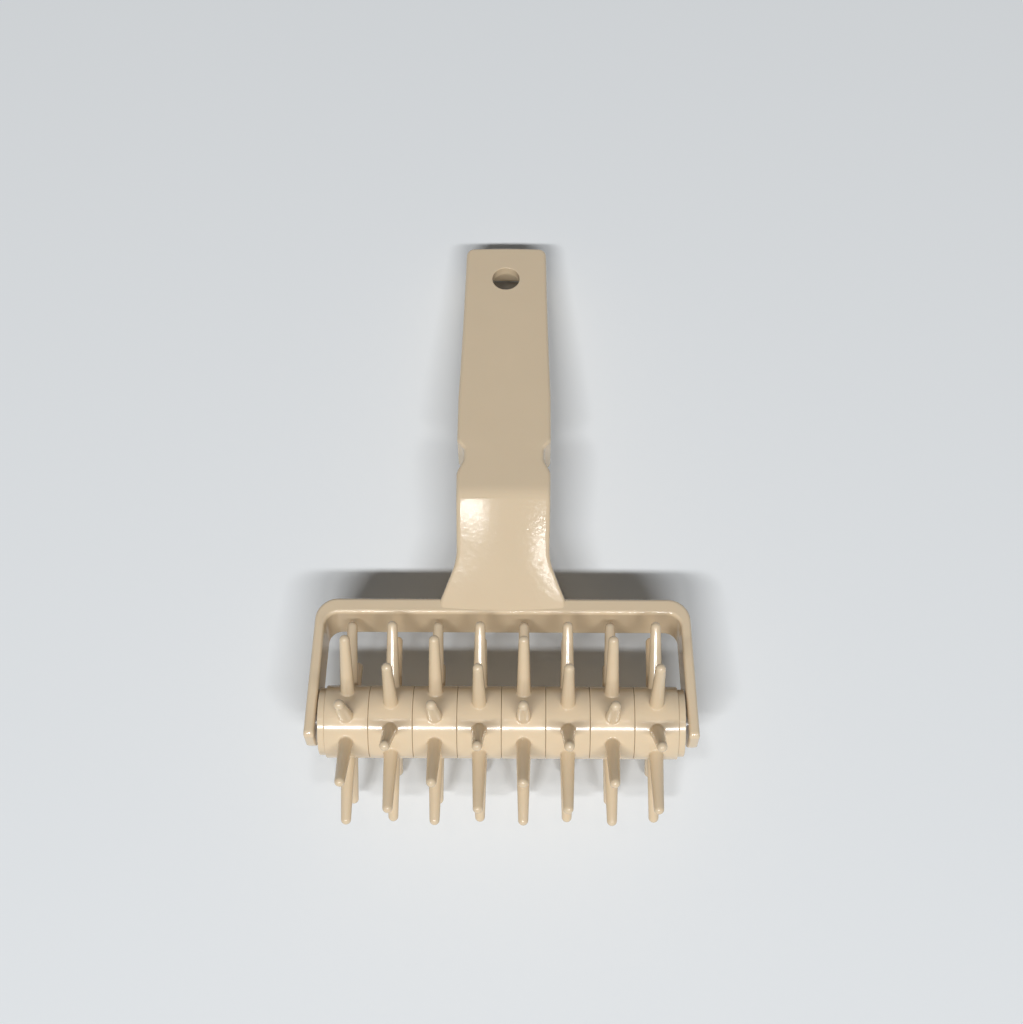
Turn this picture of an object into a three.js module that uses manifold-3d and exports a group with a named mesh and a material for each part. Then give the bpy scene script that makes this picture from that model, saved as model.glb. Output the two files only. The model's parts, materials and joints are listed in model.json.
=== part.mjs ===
// Dough docker: a moulded handle and yoke in one piece carry a roller of eight pin rings on a steel axle.
// Millimetres. The axle lies along X, the handle runs out along +Y, and +Z is up.
// The docker lies as it does on a table: on the tips of its lowest pins and on the back edge of its grip.
import * as THREE from "three";
import { mergeVertices } from "three/addons/utils/BufferGeometryUtils.js";
import Module from "manifold-3d";

const wasm = await Module();
wasm.setup();

// Clearances shared by all the pieces
const fitGap = 0.3;
const cutOverrun = 2;

// Pin rings
const ringCount = 8;
const ringPitch = 14.75;
const ringRadius = 12.2;
const ringEdgeRadius = 0.4;
const pinsPerRing = 8;
const pinTipReach = 34.5;
const pinRootDiameter = 4.75;
const pinTipDiameter = 3.4;
const pinFlareWidth = 0.35;
const pinFlareHeight = 0.6;

// Sleeve that the rings are threaded on, with four keys that hold their turn
const sleeveDiameter = 17;
const sleeveBore = 12;
const keyCount = 4;
const keyWidth = 2.4;
const keyHeight = 1.1;

// Flanged end bushes that close the sleeve and run on the axle
const discDiameter = 22.6;
const discThickness = 2.1;
const discEdgeRadius = 0.4;
const spigotLength = 8;

// Axle
const axleDiameter = 6;
const axleEndInset = 0.4;
const axleChamfer = 0.5;

// Yoke: two splayed arms and the bar that joins them
const yokeDepth = 17.5;
const armWall = 3.6;
const armSplay = THREE.MathUtils.degToRad(1.8);
const armRunningGap = 0.85;
const barClearance = 2;
const barHeight = 5.8;
const yokeOuterCorner = 8;
const yokeInnerCorner = 4.6;
const yokeEdgeRadius = 1.3;

// Neck: its front rises across the whole bar from the bar's lower edge, and its sides flare out to meet the bar
const neckRootInset = 4.6;
const neckLength = 40.95;
const neckRise = THREE.MathUtils.degToRad(23.13);
const neckWidth = 32.2;
const flareRadius = 17;
const flareAngle = THREE.MathUtils.degToRad(23.3);
const flareWidening = 5.6;
const bendRadius = 12;

// Grip: a channel, open at the back, with a waist near the bend and a hole to hang it by
const gripDepth = 18;
const gripLength = 108.2;
const gripFall = THREE.MathUtils.degToRad(2.5);
const gripWidth = 33.2;
const gripEndWidth = 30;
const gripTaperLength = 68;
const gripTaperEaseShare = 0.5;
const gripCornerRadius = 3.2;
const gripEdgeRadius = 1.5;
const waistDepth = 2.45;
const waistFlat = 2.6;
const waistRampToNeck = 7.4;
const waistRampToGrip = 4.6;
const waistFromBend = 16.2;
const skinThickness = 3.6;
const sideWall = 2.6;
const endWall = 2.8;
const neckRootWall = 3.2;
const cavityCorner = 1.2;
const hangHoleDiameter = 10.1;
const hangHoleFromEnd = 15;
const hangHoleRim = 0.3;
const ribCount = 4;
const ribThickness = 1.6;
const ribRecess = 3;
const ribFirstFromBend = 2;
const ribLastFromEnd = 27;

// Numbers of steps in round stretches
const barrelSteps = 24;
const pinSteps = 10;
const domeSteps = 2;
const cornerSteps = 5;
const edgeSteps = 3;
const tipSteps = 6;
const bendSteps = 4;
const flareSteps = 5;
const rampSteps = 4;
const taperSteps = 4;
const boreSteps = 24;

// The share of a quarter turn that the steps round an arm's tip cover, up to its small flat end
const tipTurnShare = 0.9;

// Places that follow from the sizes above
const sectorAngle = (2 * Math.PI) / pinsPerRing;
const staggerAngle = sectorAngle / 2;
const keyToPinAngle = staggerAngle / 2;
const ringWidth = ringPitch - fitGap;
const stackHalf = (ringCount * ringPitch) / 2;
const sleeveHalf = stackHalf - fitGap / 2;
const discInner = stackHalf + fitGap / 2;
const discOuter = discInner + discThickness;
const armInnerAtAxle = discOuter + armRunningGap;
const armTipRadius = yokeDepth / 2;
const barUnderside = pinTipReach + barClearance;
const barTop = barUnderside + barHeight;
const barMiddle = (barUnderside + barTop) / 2;
const neckStart = barUnderside + yokeEdgeRadius / 2;
const neckRoot = barTop - neckRootInset;
const bendAlong = neckRoot + neckLength * Math.cos(neckRise);
const bendHeight = yokeDepth / 2 + neckLength * Math.sin(neckRise);
const gripEndAlong = bendAlong + gripLength * Math.cos(gripFall);
const gripEndHeight = bendHeight - gripLength * Math.sin(gripFall);
const bendTangent = bendRadius * Math.tan((neckRise + gripFall) / 2);
const flareEnd = barTop - yokeEdgeRadius;
const flareKnee = flareEnd + flareWidening / Math.tan(flareAngle);
const flareStart = flareKnee + flareRadius * Math.tan(flareAngle / 2);
const flareArcEnd = flareStart - flareRadius * Math.sin(flareAngle);
const waistMiddle = bendAlong + waistFromBend;
const taperStart = gripEndAlong - gripTaperLength;

// A three.js geometry as a solid for joins and cuts.
function solidOf(geometry) {
  const bare = geometry.clone();
  bare.deleteAttribute("normal");
  bare.deleteAttribute("uv");
  const merged = mergeVertices(bare);
  return new wasm.Manifold(
    new wasm.Mesh({
      numProp: 3,
      vertProperties: merged.attributes.position.array,
      triVerts: new Uint32Array(merged.index.array),
    }),
  );
}

// A solid back as a three.js geometry.
function geometryOf(solid) {
  const mesh = solid.getMesh();
  const geometry = new THREE.BufferGeometry();
  geometry.setAttribute("position", new THREE.BufferAttribute(mesh.vertProperties, 3));
  geometry.setIndex(new THREE.BufferAttribute(mesh.triVerts, 1));
  geometry.computeVertexNormals();
  return geometry;
}

// A closed body through a row of sections with equal numbers of points.
// Seen from the last section back to the first, the points run counterclockwise.
function loft(sections) {
  const count = sections[0].length;
  const last = sections.length - 1;
  const points = sections.flat();
  const centreOf = (section) =>
    section.reduce((sum, point) => sum.add(point), new THREE.Vector3()).divideScalar(count);
  points.push(centreOf(sections[0]), centreOf(sections[last]));
  const firstCentre = points.length - 2;
  const lastCentre = points.length - 1;
  const faces = [];
  for (let side = 0; side < count; side += 1) {
    const next = (side + 1) % count;
    faces.push(firstCentre, next, side);
    faces.push(lastCentre, last * count + side, last * count + next);
    for (let row = 0; row < last; row += 1) {
      const here = row * count;
      const beyond = here + count;
      faces.push(here + side, here + next, beyond + next);
      faces.push(here + side, beyond + next, beyond + side);
    }
  }
  const geometry = new THREE.BufferGeometry().setFromPoints(points);
  geometry.setIndex(faces);
  return geometry;
}

// The points of a quarter circle or less, from one angle to another, in steps of equal angle.
function arcPoints(centreX, centreY, radius, from, to, steps) {
  const points = [];
  for (let step = 0; step <= steps; step += 1) {
    const angle = from + ((to - from) * step) / steps;
    points.push(new THREE.Vector2(centreX + radius * Math.cos(angle), centreY + radius * Math.sin(angle)));
  }
  return points;
}

// A round bar along X, turned from its outline of distances along the axis and radii.
function turnedAlongX(outline, steps) {
  const profile = outline.map(([along, radius]) => new THREE.Vector2(radius, along));
  const geometry = new THREE.LatheGeometry(profile, steps);
  geometry.rotateZ(-Math.PI / 2);
  return geometry;
}

// How far the flare widens each side of the neck at a place along it: an arc, a straight run and the bar.
function flareAt(along) {
  if (along >= flareStart) return 0;
  if (along <= flareArcEnd) return (flareKnee - Math.max(along, flareEnd)) * Math.tan(flareAngle);
  return flareRadius - Math.sqrt(flareRadius ** 2 - (flareStart - along) ** 2);
}

// Half width of the handle at a place along it: flare, neck, waist, taper and rounded end.
function handleHalfWidth(along) {
  const { clamp, lerp, smoothstep } = THREE.MathUtils;
  const widening = clamp((along - flareStart) / (waistMiddle - flareStart), 0, 1);
  let half = lerp(neckWidth, gripWidth, widening) / 2 + flareAt(along);
  if (along > taperStart) {
    const share = (along - taperStart) / gripTaperLength;
    const easedShare = lerp(share, 1 - (1 - share) ** 2, gripTaperEaseShare);
    half = lerp(gripWidth, gripEndWidth, easedShare) / 2;
  }
  const fromWaist = Math.abs(along - waistMiddle) - waistFlat / 2;
  const rampLength = along < waistMiddle ? waistRampToNeck : waistRampToGrip;
  const ramp = clamp(1 - fromWaist / rampLength, 0, 1);
  half -= waistDepth * smoothstep(ramp, 0, 1);
  const intoCorner = along - (gripEndAlong - gripCornerRadius);
  if (intoCorner > 0) {
    half -= gripCornerRadius - Math.sqrt(Math.max(gripCornerRadius ** 2 - intoCorner ** 2, 0));
  }
  return half;
}

// Height of the handle's front at a place along it: neck, rounded bend and grip, before the end is rounded.
function frontHeight(along) {
  const neckLine = yokeDepth / 2 + (along - neckRoot) * Math.tan(neckRise);
  const gripLine = bendHeight - (along - bendAlong) * Math.tan(gripFall);
  const arcStart = bendAlong - bendTangent * Math.cos(neckRise);
  const arcEnd = bendAlong + bendTangent * Math.cos(gripFall);
  if (along <= arcStart) return neckLine;
  if (along >= arcEnd) return gripLine;
  const centreAlong = arcStart + bendRadius * Math.sin(neckRise);
  const centreHeight = bendHeight - bendTangent * Math.sin(neckRise) - bendRadius * Math.cos(neckRise);
  return centreHeight + Math.sqrt(bendRadius ** 2 - (along - centreAlong) ** 2);
}

// How far the rounding of the grip's end edge lowers its front.
function endDrop(along) {
  const intoEdge = along - (gripEndAlong - gripEdgeRadius);
  if (intoEdge <= 0) return 0;
  return gripEdgeRadius - Math.sqrt(Math.max(gripEdgeRadius ** 2 - intoEdge ** 2, 0));
}

// Height of the handle's open back, which never goes below the back of the yoke and starts inside the bar.
function backHeight(along) {
  if (along < barMiddle) return 0;
  return Math.max(frontHeight(along) - gripDepth, -yokeDepth / 2);
}

// One section across the handle: square at the back, with rounded front edges.
function channelSection(along, half, front, back, radius) {
  const corners = [
    new THREE.Vector2(half, back),
    ...arcPoints(half - radius, front - radius, radius, 0, Math.PI / 2, edgeSteps),
    ...arcPoints(radius - half, front - radius, radius, Math.PI / 2, Math.PI, edgeSteps),
    new THREE.Vector2(-half, back),
  ];
  return corners.reverse().map((corner) => new THREE.Vector3(corner.x, along, corner.y));
}

// The stations along the handle that its curves need, from one place to another.
function handleStations(from, to) {
  const stations = [from, to, barMiddle, flareEnd];
  for (let step = 0; step <= taperSteps; step += 1) {
    stations.push(taperStart + (gripTaperLength * step) / taperSteps);
  }
  for (let step = 0; step <= flareSteps; step += 1) {
    stations.push(THREE.MathUtils.lerp(flareArcEnd, flareStart, step / flareSteps));
  }
  for (let step = 0; step <= bendSteps; step += 1) {
    const share = step / bendSteps;
    stations.push(bendAlong + bendTangent * (2 * share - 1));
  }
  for (let step = 0; step <= rampSteps; step += 1) {
    stations.push(waistMiddle - waistFlat / 2 - (waistRampToNeck * step) / rampSteps);
    stations.push(waistMiddle + waistFlat / 2 + (waistRampToGrip * step) / rampSteps);
  }
  for (let step = 0; step <= cornerSteps; step += 1) {
    const turn = ((Math.PI / 2) * step) / cornerSteps;
    stations.push(gripEndAlong - gripCornerRadius * (1 - Math.sin(turn)));
    stations.push(gripEndAlong - gripEdgeRadius * (1 - Math.sin(turn)));
  }
  const inside = stations.filter((along) => along >= from && along <= to).sort((a, b) => a - b);
  return inside.filter((along, index) => index === 0 || along - inside[index - 1] > fitGap / 3);
}

// The handle as a full bar, before it is hollowed.
function handleBody() {
  const sections = handleStations(neckStart, gripEndAlong).map((along) =>
    channelSection(along, handleHalfWidth(along), frontHeight(along) - endDrop(along), backHeight(along), gripEdgeRadius),
  );
  return solidOf(loft(sections));
}

// The hollow under the skin of the neck and grip, open at the back.
function handleCavity() {
  const sections = handleStations(barTop + neckRootWall, gripEndAlong - endWall).map((along) =>
    channelSection(
      along,
      handleHalfWidth(along) - sideWall,
      frontHeight(along) - skinThickness,
      backHeight(along) - cutOverrun,
      cavityCorner,
    ),
  );
  return solidOf(loft(sections));
}

// Cross ribs that stiffen the channel, set back from its open edge.
function handleRibs(body) {
  const first = bendAlong + ribFirstFromBend;
  const last = gripEndAlong - ribLastFromEnd;
  let ribs = null;
  for (let index = 0; index < ribCount; index += 1) {
    const along = THREE.MathUtils.lerp(first, last, index / (ribCount - 1));
    const low = backHeight(along) + ribRecess;
    const high = frontHeight(along) - skinThickness / 2;
    const box = new THREE.BoxGeometry(gripWidth - sideWall, ribThickness, high - low);
    box.translate(0, along, (low + high) / 2);
    ribs = ribs ? ribs.add(solidOf(box)) : solidOf(box);
  }
  return ribs.intersect(body);
}

// The hole to hang the docker by, with a softened rim.
function hangHole() {
  const along = gripEndAlong - hangHoleFromEnd * Math.cos(gripFall);
  const radius = hangHoleDiameter / 2;
  const depth = skinThickness + cutOverrun;
  const outline = [
    [-depth, 0],
    [-depth, radius],
    [-hangHoleRim, radius],
    [cutOverrun, radius + hangHoleRim + cutOverrun],
    [cutOverrun, 0],
  ];
  const geometry = turnedAlongX(outline, boreSteps);
  geometry.rotateY(-Math.PI / 2);
  geometry.rotateX(-gripFall);
  geometry.translate(0, along, frontHeight(along));
  return solidOf(geometry);
}

// One section across the yoke between a point on its inner outline and one on its outer outline.
function yokeSection(inner, outer, depth) {
  const across = outer.clone().sub(inner);
  const wall = across.length();
  across.normalize();
  const radius = Math.min(yokeEdgeRadius, depth / 2);
  const corners = [
    ...arcPoints(wall - radius, depth / 2 - radius, radius, 0, Math.PI / 2, edgeSteps),
    ...arcPoints(radius, depth / 2 - radius, radius, Math.PI / 2, Math.PI, edgeSteps),
    ...arcPoints(radius, radius - depth / 2, radius, Math.PI, 1.5 * Math.PI, edgeSteps),
    ...arcPoints(wall - radius, radius - depth / 2, radius, 1.5 * Math.PI, 2 * Math.PI, edgeSteps),
  ];
  return corners.map((corner) => {
    const place = inner.clone().addScaledVector(across, corner.x);
    return new THREE.Vector3(place.x, place.y, corner.y);
  });
}

// The yoke: its section is swept down one arm, round both corners and along the bar to the other arm.
function yokeBody() {
  const down = new THREE.Vector2(Math.sin(armSplay), -Math.cos(armSplay));
  const outward = new THREE.Vector2(Math.cos(armSplay), Math.sin(armSplay));
  const innerAtAxle = new THREE.Vector2(armInnerAtAxle, 0);
  const outerAtAxle = innerAtAxle.clone().addScaledVector(outward, armWall);
  const stations = [];
  for (let step = tipSteps; step >= 0; step -= 1) {
    const turn = (tipTurnShare * (Math.PI / 2) * step) / tipSteps;
    const beyond = armTipRadius * Math.sin(turn);
    stations.push({
      inner: innerAtAxle.clone().addScaledVector(down, beyond),
      outer: outerAtAxle.clone().addScaledVector(down, beyond),
      depth: 2 * armTipRadius * Math.cos(turn),
    });
  }
  const cornerCentre = (onLine, level, radius) => {
    const height = level - radius;
    return new THREE.Vector2(onLine.x - (radius + height * outward.y) / outward.x, height);
  };
  const innerCentre = cornerCentre(innerAtAxle, barUnderside, yokeInnerCorner);
  const outerCentre = cornerCentre(outerAtAxle, barTop, yokeOuterCorner);
  const innerArc = arcPoints(innerCentre.x, innerCentre.y, yokeInnerCorner, armSplay, Math.PI / 2, cornerSteps);
  const outerArc = arcPoints(outerCentre.x, outerCentre.y, yokeOuterCorner, armSplay, Math.PI / 2, cornerSteps);
  innerArc.forEach((inner, index) => stations.push({ inner, outer: outerArc[index], depth: yokeDepth }));
  const right = stations.map(({ inner, outer, depth }) => yokeSection(inner, outer, depth));
  const left = right.map((section) => section.map((point) => new THREE.Vector3(-point.x, point.y, point.z)));
  return solidOf(loft([...left, ...right.reverse()]));
}

// Handle and yoke in one moulding, with the axle hole through both arms.
function handleGeometry() {
  const body = handleBody();
  const ribs = handleRibs(body);
  const axleHoleRadius = axleDiameter / 2 + fitGap;
  const holeHalf = armInnerAtAxle + armWall + cutOverrun;
  const axleHole = turnedAlongX(
    [
      [-holeHalf, 0],
      [-holeHalf, axleHoleRadius],
      [holeHalf, axleHoleRadius],
      [holeHalf, 0],
    ],
    boreSteps,
  );
  const moulding = body.add(yokeBody()).subtract(handleCavity()).add(ribs).subtract(hangHole());
  return geometryOf(moulding.subtract(solidOf(axleHole)));
}

// Steel axle, chamfered at both ends, just short of the arms' outer faces.
function axleGeometry() {
  const half = armInnerAtAxle + armWall - axleEndInset;
  const radius = axleDiameter / 2;
  return turnedAlongX(
    [
      [-half, 0],
      [-half, radius - axleChamfer],
      [axleChamfer - half, radius],
      [half - axleChamfer, radius],
      [half, radius - axleChamfer],
      [half, 0],
    ],
    boreSteps,
  );
}

// Keyed sleeve, open at both ends.
function sleeveGeometry() {
  const outer = sleeveDiameter / 2;
  const bore = sleeveBore / 2;
  const tube = turnedAlongX(
    [
      [-sleeveHalf, bore],
      [-sleeveHalf, outer],
      [sleeveHalf, outer],
      [sleeveHalf, bore],
      [-sleeveHalf, bore],
    ],
    barrelSteps,
  );
  let sleeve = solidOf(tube);
  const wall = outer - bore;
  for (let key = 0; key < keyCount; key += 1) {
    const bar = new THREE.BoxGeometry(2 * sleeveHalf, keyWidth, wall / 2 + keyHeight);
    bar.translate(0, 0, outer + (keyHeight - wall / 2) / 2);
    bar.rotateX((2 * Math.PI * key) / keyCount);
    sleeve = sleeve.add(solidOf(bar));
  }
  return geometryOf(sleeve);
}

// Flanged bush for the sleeve's end, drawn for the +X side.
function endDiscGeometry() {
  const bore = axleDiameter / 2 + fitGap;
  const spigot = sleeveBore / 2 - fitGap;
  const rim = discDiameter / 2;
  const round = discEdgeRadius;
  return turnedAlongX(
    [
      [discInner - spigotLength, bore],
      [discInner - spigotLength, spigot],
      [discInner, spigot],
      [discInner, rim - round],
      [discInner + round, rim],
      [discOuter - round, rim],
      [discOuter, rim - round],
      [discOuter, bore],
      [discInner - spigotLength, bore],
    ],
    barrelSteps,
  );
}

// One pin standing out along +Z from inside the ring's wall to its domed tip.
function pinGeometry() {
  const tipRadius = pinTipDiameter / 2;
  const rootRadius = pinRootDiameter / 2;
  const domeBase = pinTipReach - tipRadius;
  const sunk = (sleeveDiameter / 2 + keyHeight + fitGap + ringRadius) / 2;
  const profile = [
    new THREE.Vector2(0, sunk),
    new THREE.Vector2(rootRadius + pinFlareWidth, sunk),
    new THREE.Vector2(rootRadius + pinFlareWidth, ringRadius),
    new THREE.Vector2(rootRadius, ringRadius + pinFlareHeight),
    ...arcPoints(0, domeBase, tipRadius, 0, Math.PI / 2, domeSteps).slice(0, -1),
    new THREE.Vector2(0, pinTipReach),
  ];
  const geometry = new THREE.LatheGeometry(profile, pinSteps);
  geometry.rotateX(Math.PI / 2);
  return geometry;
}

// One pin ring: a barrel with key slots in its bore and pins set half a stagger past the slots.
function ringGeometry() {
  const half = ringWidth / 2;
  const bore = sleeveDiameter / 2 + fitGap;
  const round = ringEdgeRadius;
  const barrel = turnedAlongX(
    [
      [-half, bore],
      [-half, ringRadius - round],
      [round - half, ringRadius],
      [half - round, ringRadius],
      [half, ringRadius - round],
      [half, bore],
      [-half, bore],
    ],
    barrelSteps,
  );
  let ring = solidOf(barrel);
  const slotDepth = keyHeight + cutOverrun;
  for (let key = 0; key < keyCount; key += 1) {
    const slot = new THREE.BoxGeometry(ringWidth + cutOverrun, keyWidth + 2 * fitGap, slotDepth);
    slot.translate(0, 0, bore + keyHeight - slotDepth / 2);
    slot.rotateX((2 * Math.PI * key) / keyCount);
    ring = ring.subtract(solidOf(slot));
  }
  const pin = pinGeometry();
  for (let index = 0; index < pinsPerRing; index += 1) {
    const turned = pin.clone().rotateX(keyToPinAngle + sectorAngle * index);
    ring = ring.add(solidOf(turned));
  }
  return geometryOf(ring);
}

// Materials
const plastic = { color: 0xe8d8b4, roughness: 0.38, metalness: 0 };
const steel = { color: 0xc4c6c8, roughness: 0.3, metalness: 1 };

function namedMesh(name, geometry, finish) {
  const mesh = new THREE.Mesh(geometry, new THREE.MeshStandardMaterial(finish));
  mesh.name = name;
  return mesh;
}

// The handle's group turns about the axle until the grip's back edge touches the table.
function restTilt() {
  const heelHeight = gripEndHeight - gripDepth;
  const heelReach = Math.hypot(gripEndAlong, heelHeight);
  return Math.atan2(heelHeight, gripEndAlong) + Math.asin(pinTipReach / heelReach);
}

function handleAssembly() {
  const handle = new THREE.Group();
  handle.add(namedMesh("handle_frame", handleGeometry(), plastic));
  handle.add(namedMesh("axle_rod", axleGeometry(), steel));
  handle.rotation.x = -restTilt();
  return handle;
}

// Every second ring is the same moulding turned over, which staggers its pins by half a sector.
function rollerAssembly() {
  const roller = new THREE.Group();
  roller.add(namedMesh("roller_sleeve", sleeveGeometry(), plastic));
  const disc = endDiscGeometry();
  const rightDisc = namedMesh("end_disc_right", disc, plastic);
  const leftDisc = namedMesh("end_disc_left", disc, plastic);
  leftDisc.rotation.z = Math.PI;
  roller.add(leftDisc, rightDisc);
  const ring = ringGeometry();
  for (let index = 0; index < ringCount; index += 1) {
    const mesh = namedMesh(`pin_ring_${index + 1}`, ring, plastic);
    mesh.position.x = (index + 1 / 2) * ringPitch - stackHalf;
    mesh.rotation.z = index % 2 === 0 ? 0 : Math.PI;
    roller.add(mesh);
  }
  roller.rotation.x = -keyToPinAngle;
  return roller;
}

const docker = new THREE.Group();
docker.add(handleAssembly(), rollerAssembly());

// The origin is the middle of the docker's footprint, at table height.
const extent = new THREE.Box3().setFromObject(docker, true);
docker.position.set(0, -(extent.min.y + extent.max.y) / 2, -extent.min.z);

const root = new THREE.Group();
root.add(docker);

export default root;
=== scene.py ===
"""The looks of a dough docker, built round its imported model.

A moulded handle and yoke in one piece carry a roller of eight pin rings. Each class of a piece holds its sizes
in millimetres and turns them into finished meshes in metres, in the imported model's frame. The axle is given in
metres, in the same frame. Finishes, lamps and floor are in metres too.
"""

from __future__ import annotations

import json
import logging
import math
from collections.abc import Iterator
from contextlib import contextmanager
from dataclasses import dataclass
from enum import Enum

import bmesh
import bpy
from mathutils import Matrix, Vector

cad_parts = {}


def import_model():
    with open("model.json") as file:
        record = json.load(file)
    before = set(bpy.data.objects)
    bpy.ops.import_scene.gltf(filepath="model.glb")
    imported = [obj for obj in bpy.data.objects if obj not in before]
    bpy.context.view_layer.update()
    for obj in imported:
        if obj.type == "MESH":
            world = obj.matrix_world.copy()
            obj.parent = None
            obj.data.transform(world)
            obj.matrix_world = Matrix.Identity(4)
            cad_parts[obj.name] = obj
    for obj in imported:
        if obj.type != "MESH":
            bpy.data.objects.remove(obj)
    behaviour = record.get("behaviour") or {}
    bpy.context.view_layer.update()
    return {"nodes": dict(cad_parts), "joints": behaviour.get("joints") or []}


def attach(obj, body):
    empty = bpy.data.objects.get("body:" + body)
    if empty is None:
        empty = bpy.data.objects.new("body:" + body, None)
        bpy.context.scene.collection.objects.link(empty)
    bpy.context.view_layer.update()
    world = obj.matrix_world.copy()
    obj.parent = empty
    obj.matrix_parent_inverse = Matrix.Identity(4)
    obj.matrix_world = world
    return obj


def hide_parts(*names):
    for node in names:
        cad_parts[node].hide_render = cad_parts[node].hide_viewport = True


LOG = logging.getLogger("dough_docker")
MILLIMETRE = 0.001
QUARTER = math.pi / 2

# Corners closer than this, in millimetres, are one corner.
WELD = 1e-4
# Faces that meet at less than these angles are shaded as one smooth surface.
SMOOTH_BELOW = math.radians(32)
SMOOTH_BELOW_ON_HANDLE = math.radians(15)
SMOOTH_BELOW_ON_RINGS = math.radians(40)
# How strongly large faces set the normals beside them, from 1 to 100.
FACE_WEIGHT = 80
# Steps round the holes and the rod, and round the bushes, which are seen from near.
TURN_STEPS = 48
FINE_TURN_STEPS = 96

Point = tuple[float, float, float]
Flat = tuple[float, float]
Colour = tuple[float, float, float]


class Join(Enum):
    """How one solid is combined with another."""

    ADD = "UNION"
    CUT = "DIFFERENCE"


class Body(Enum):
    """The two rigid bodies of the docker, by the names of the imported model."""

    HANDLE = "handle"
    ROLLER = "roller"


# Mesh helpers


def mesh_object(name: str, points: list[Point], faces: list[tuple[int, ...]]) -> bpy.types.Object:
    """Makes a linked mesh object from points and faces.

    Args:
        name: name of the object and of its mesh.
        points: corners, in millimetres.
        faces: indices of the corners of each face, turning so that the face looks outwards.

    Returns:
        The new object, at the origin.
    """
    mesh = bpy.data.meshes.new(name)
    mesh.from_pydata(points, [], faces)
    mesh.update()
    made = bpy.data.objects.new(name, mesh)
    bpy.context.scene.collection.objects.link(made)
    return made


def discard(thing: bpy.types.Object) -> None:
    """Removes an object and its mesh.

    Args:
        thing: the object.
    """
    mesh = thing.data
    bpy.data.objects.remove(thing)
    bpy.data.meshes.remove(mesh)


@contextmanager
def opened(thing: bpy.types.Object) -> Iterator[bmesh.types.BMesh]:
    """Opens an object's mesh for work, and writes it back afterwards.

    Args:
        thing: the object with the mesh.

    Yields:
        The mesh as a BMesh.
    """
    work = bmesh.new()
    work.from_mesh(thing.data)
    yield work
    work.to_mesh(thing.data)
    work.free()


def outward(thing: bpy.types.Object) -> None:
    """Merges doubled corners of a closed mesh and turns its faces outwards.

    Args:
        thing: the object with the mesh.
    """
    with opened(thing) as work:
        bmesh.ops.remove_doubles(work, verts=work.verts, dist=WELD)
        bmesh.ops.recalc_face_normals(work, faces=work.faces)


def combine(base: bpy.types.Object, other: bpy.types.Object, join: Join) -> None:
    """Joins another closed solid to a base, or cuts it from it, and removes the other.

    Args:
        base: the solid that is changed.
        other: the solid that is used up.
        join: what is done with it.
    """
    step = base.modifiers.new(join.value, "BOOLEAN")
    step.operation = join.value
    step.solver = "MANIFOLD"
    step.object = other
    settle(base)
    discard(other)


def settle(thing: bpy.types.Object) -> None:
    """Applies an object's modifiers to its mesh.

    Args:
        thing: the object, whose modifiers are gone afterwards.
    """
    graph = bpy.context.evaluated_depsgraph_get()
    made = bpy.data.meshes.new_from_object(thing.evaluated_get(graph))
    thing.modifiers.clear()
    old = thing.data
    thing.data = made
    bpy.data.meshes.remove(old)
    made.name = thing.name


def smooth(thing: bpy.types.Object, below: float = SMOOTH_BELOW) -> None:
    """Shades a mesh smooth, and lets its flat faces set the normals beside them.

    Args:
        thing: the object with the mesh.
        below: the angle between two faces from which their edge stays sharp.
    """
    thing.data.shade_smooth()
    thing.data.set_sharp_from_angle(angle=below)
    step = thing.modifiers.new("weighted_normals", "WEIGHTED_NORMAL")
    step.keep_sharp = True
    step.weight = FACE_WEIGHT
    settle(thing)


def loft(name: str, sections: list[list[Point]]) -> bpy.types.Object:
    """Makes a closed body through a row of sections with equal numbers of points.

    Args:
        name: name of the new object.
        sections: rings of points, in millimetres.

    Returns:
        The body, with its faces outwards.
    """
    count = len(sections[0])
    points = [point for section in sections for point in section]
    faces: list[tuple[int, ...]] = [tuple(range(count))]
    for row in range(len(sections) - 1):
        here, beyond = row * count, (row + 1) * count
        for side in range(count):
            after = (side + 1) % count
            faces.append((here + side, beyond + side, beyond + after, here + after))
    faces.append(tuple(reversed(range(len(points) - count, len(points)))))
    made = mesh_object(name, points, faces)
    outward(made)
    return made


def arc(centre: Flat, radius: float, start: float, end: float, steps: int) -> list[Flat]:
    """Gives the points of an arc.

    Args:
        centre: centre of the arc.
        radius: radius of the arc.
        start: angle of its first point.
        end: angle of its last point.
        steps: number of equal steps.

    Returns:
        The points, from start to end.
    """
    turns = [start + (end - start) * step / steps for step in range(steps + 1)]
    return [(centre[0] + radius * math.cos(turn), centre[1] + radius * math.sin(turn)) for turn in turns]


def turned(name: str, outline: list[Flat], steps: int) -> bpy.types.Object:
    """Turns an outline about X.

    Args:
        name: name of the new object.
        outline: pairs of a place along X and a radius; its ends lie on the axis, or it closes on itself.
        steps: number of steps round the axis.

    Returns:
        The closed body, with its faces outwards.
    """
    points: list[Point] = []
    for step in range(steps):
        turn = math.tau * step / steps
        points += [(along, radius * math.cos(turn), radius * math.sin(turn)) for along, radius in outline]
    count = len(outline)
    faces = []
    for step in range(steps):
        here, beyond = step * count, ((step + 1) % steps) * count
        for place in range(count):
            after = (place + 1) % count
            faces.append((here + place, here + after, beyond + after, beyond + place))
    made = mesh_object(name, points, faces)
    with opened(made) as work:
        bmesh.ops.remove_doubles(work, verts=work.verts, dist=WELD)
        bmesh.ops.dissolve_degenerate(work, dist=WELD, edges=work.edges)
    outward(made)
    return made


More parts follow.
